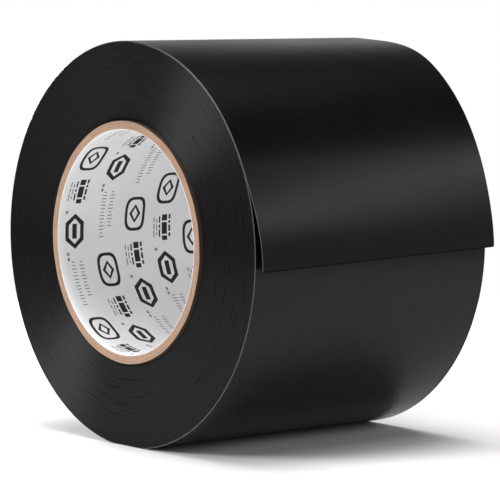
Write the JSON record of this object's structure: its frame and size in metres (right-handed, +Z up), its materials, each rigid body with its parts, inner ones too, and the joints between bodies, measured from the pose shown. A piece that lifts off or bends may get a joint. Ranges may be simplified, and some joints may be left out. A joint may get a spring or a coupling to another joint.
{
  "type": "electrical tape roll",
  "caption": "Wide roll of black PVC electrical tape on a printed paper core, standing on its rim, with a loose cut end that peels open.",
  "frame": {"origin": "middle of the narrow flat that the roll stands on, under its axis and half way along its width", "axes": "+Y along the roll's axis, away from the printed-core face in view; +Z up; +X towards the side where the loose end hangs"},
  "size_m": [0.0711, 0.0513, 0.0687],
  "materials": {
    "printed_paper": "pale grey printed paper, matt",
    "kraft_board": "bare kraft paperboard, matt",
    "wound_pvc": "black PVC film cut edges, satin with fine rings",
    "gloss_pvc": "smooth black PVC film, semi-gloss",
    "rubber_adhesive": "tacky black adhesive, wet-looking"
  },
  "bodies": {
    "roll": {"core_liner": "printed_paper", "core_ply_inner": "kraft_board", "core_ply_middle": "kraft_board", "core_ply_outer": "kraft_board", "wound_tape": "wound_pvc"},
    "tail_1": {"tail_film_1": "gloss_pvc", "tail_adhesive_1": "rubber_adhesive"},
    "tail_2": {"tail_film_2": "gloss_pvc", "tail_adhesive_2": "rubber_adhesive"},
    "tail_3": {"tail_film_3": "gloss_pvc", "tail_adhesive_3": "rubber_adhesive"},
    "tail_4": {"tail_film_4": "gloss_pvc", "tail_adhesive_4": "rubber_adhesive"},
    "tail_5": {"tail_film_5": "gloss_pvc", "tail_adhesive_5": "rubber_adhesive"},
    "tail_6": {"tail_film_6": "gloss_pvc", "tail_adhesive_6": "rubber_adhesive"},
    "tail_7": {"tail_film_7": "gloss_pvc", "tail_adhesive_7": "rubber_adhesive"},
    "tail_8": {"tail_film_8": "gloss_pvc", "tail_adhesive_8": "rubber_adhesive"}
  },
  "joints": [
    {"name": "tail_fold_1", "type": "hinge", "parent": "roll", "child": "tail_1", "pos_m": [0.00226, 0, 0.06862], "axis": [0, -1, 0], "range_deg": [0, 20]},
    {"name": "tail_fold_2", "type": "hinge", "parent": "tail_1", "child": "tail_2", "pos_m": [0.00902, 0, 0.06784], "axis": [-0.0034, -0.9999, -0.0127], "range_deg": [0, 20]},
    {"name": "tail_fold_3", "type": "hinge", "parent": "tail_2", "child": "tail_3", "pos_m": [0.01567, 0, 0.06598], "axis": [-0.0162, -0.9993, -0.0329], "range_deg": [0, 20]},
    {"name": "tail_fold_4", "type": "hinge", "parent": "tail_3", "child": "tail_4", "pos_m": [0.02168, 0, 0.06244], "axis": [-0.0262, -0.9991, -0.0341], "range_deg": [0, 20]},
    {"name": "tail_fold_5", "type": "hinge", "parent": "tail_4", "child": "tail_5", "pos_m": [0.02671, 0, 0.05761], "axis": [-0.0298, -0.9992, -0.0261], "range_deg": [0, 20]},
    {"name": "tail_fold_6", "type": "hinge", "parent": "tail_5", "child": "tail_6", "pos_m": [0.03065, 0, 0.05189], "axis": [-0.0298, -0.9994, -0.0172], "range_deg": [0, 20]},
    {"name": "tail_fold_7", "type": "hinge", "parent": "tail_6", "child": "tail_7", "pos_m": [0.03356, 0, 0.04558], "axis": [-0.0257, -0.9996, -0.0087], "range_deg": [0, 20]},
    {"name": "tail_fold_8", "type": "hinge", "parent": "tail_7", "child": "tail_8", "pos_m": [0.03569, 0, 0.03889], "axis": [-0.0125, -0.9999, -0.0016], "range_deg": [0, 20]}
  ],
  "couplings": [
    {"joint": "tail_fold_2", "follows": "tail_fold_1", "ratio": 1},
    {"joint": "tail_fold_3", "follows": "tail_fold_1", "ratio": 1},
    {"joint": "tail_fold_4", "follows": "tail_fold_1", "ratio": 1},
    {"joint": "tail_fold_5", "follows": "tail_fold_1", "ratio": 1},
    {"joint": "tail_fold_6", "follows": "tail_fold_1", "ratio": 1},
    {"joint": "tail_fold_7", "follows": "tail_fold_1", "ratio": 1},
    {"joint": "tail_fold_8", "follows": "tail_fold_1", "ratio": 1}
  ]
}
